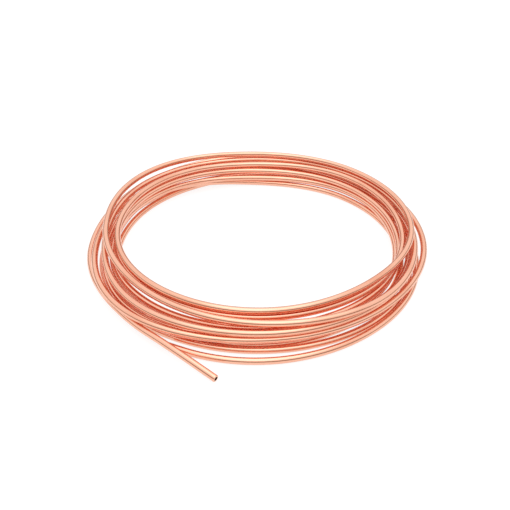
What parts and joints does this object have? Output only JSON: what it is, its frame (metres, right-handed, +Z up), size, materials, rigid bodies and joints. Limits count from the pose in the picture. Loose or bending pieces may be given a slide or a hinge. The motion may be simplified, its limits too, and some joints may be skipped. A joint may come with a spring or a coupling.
{
  "type": "copper tube coil",
  "caption": "Loose flat coil of soft round copper tube with an open eye and a straight free end, stock for gas, fuel, oil or water lines.",
  "frame": {"origin": "on the floor, in the middle of the coil's footprint, free end included", "axes": "+Z up; +Y to the back, away from the free end, which is the longest way across; +X to the right"},
  "size_m": [0.328, 0.3535, 0.0329],
  "materials": {
    "bright_copper": "bright drawn copper, smooth and clean"
  },
  "bodies": {
    "root": {"copper_tube": "bright_copper"}
  },
  "joints": []
}
